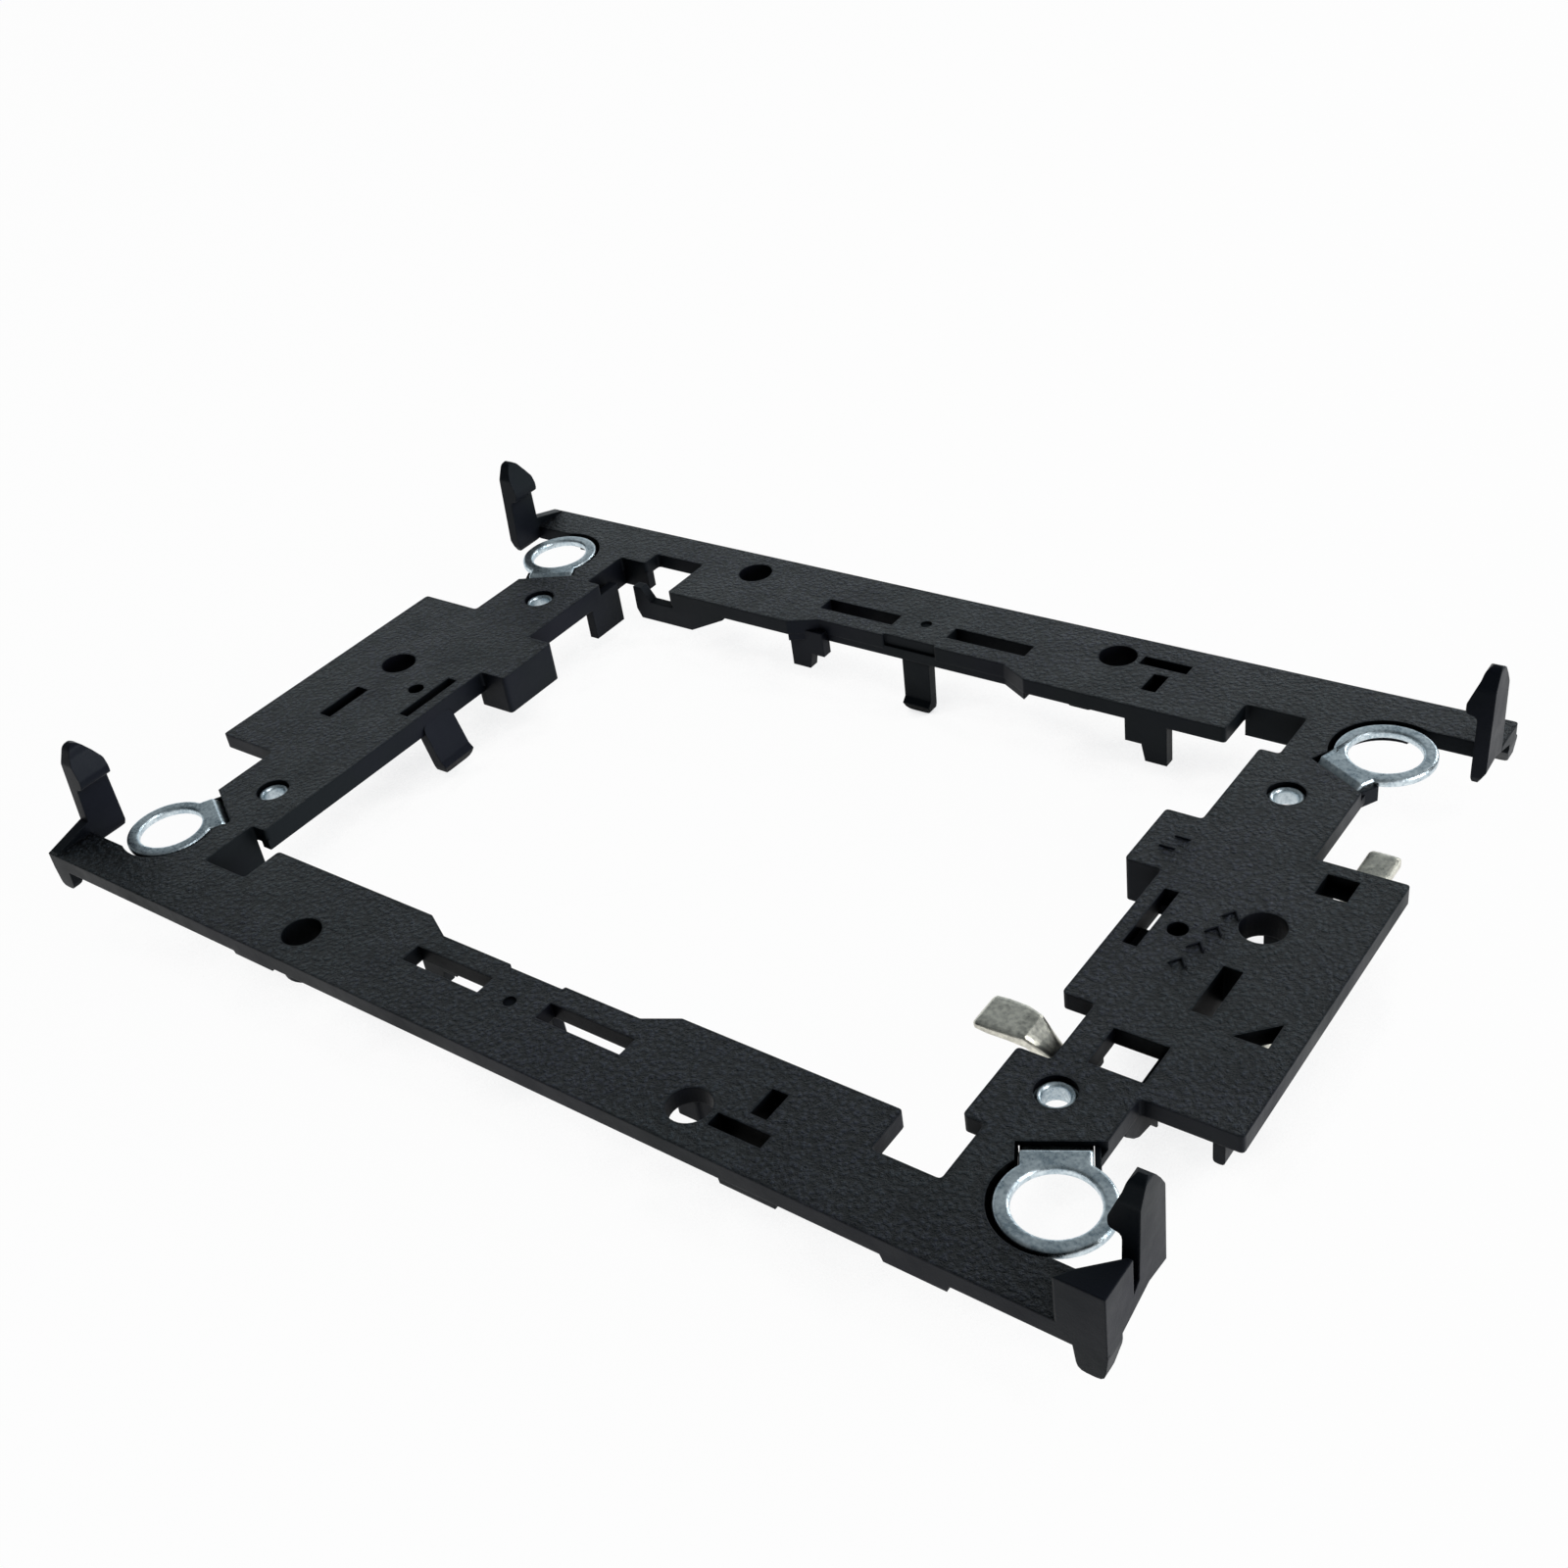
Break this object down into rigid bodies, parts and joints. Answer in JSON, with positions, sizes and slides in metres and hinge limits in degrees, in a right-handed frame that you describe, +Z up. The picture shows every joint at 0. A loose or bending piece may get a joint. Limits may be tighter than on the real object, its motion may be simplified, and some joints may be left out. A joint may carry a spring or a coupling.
{
  "type": "cpu cooler mounting bracket",
  "caption": "Moulded black processor carrier frame with a large window, hooked corner posts, metal nut rings on tabs and a hinged steel release lever.",
  "frame": {"origin": "below the middle of the processor window, on the plane of the long legs' feet", "axes": "+X along the long rails towards the lever's side, +Y from the front rail to the back rail, +Z up through the posts"},
  "size_m": [0.123, 0.0824, 0.0194],
  "materials": {
    "moulded_black": "fine leather grain on top, satin sides",
    "zinc_plate": "satin zinc plating with bright edges",
    "lever_steel": "semi-bright plated steel"
  },
  "bodies": {
    "carrier": {"carrier_frame": "moulded_black", "ring_plate_front_left": "zinc_plate", "ring_plate_front_right": "zinc_plate", "ring_plate_back_right": "zinc_plate", "ring_plate_back_left": "zinc_plate", "eyelet_front_left": "zinc_plate", "eyelet_front_right": "zinc_plate", "eyelet_back_right": "zinc_plate", "eyelet_back_left": "zinc_plate"},
    "lever": {"release_lever": "lever_steel"}
  },
  "joints": [
    {"name": "lever_hinge", "type": "hinge", "parent": "carrier", "child": "lever", "pos_m": [0.0501, -0.0156, 0.0052], "axis": [-1, 0, 0], "range_deg": [0, 95]}
  ]
}
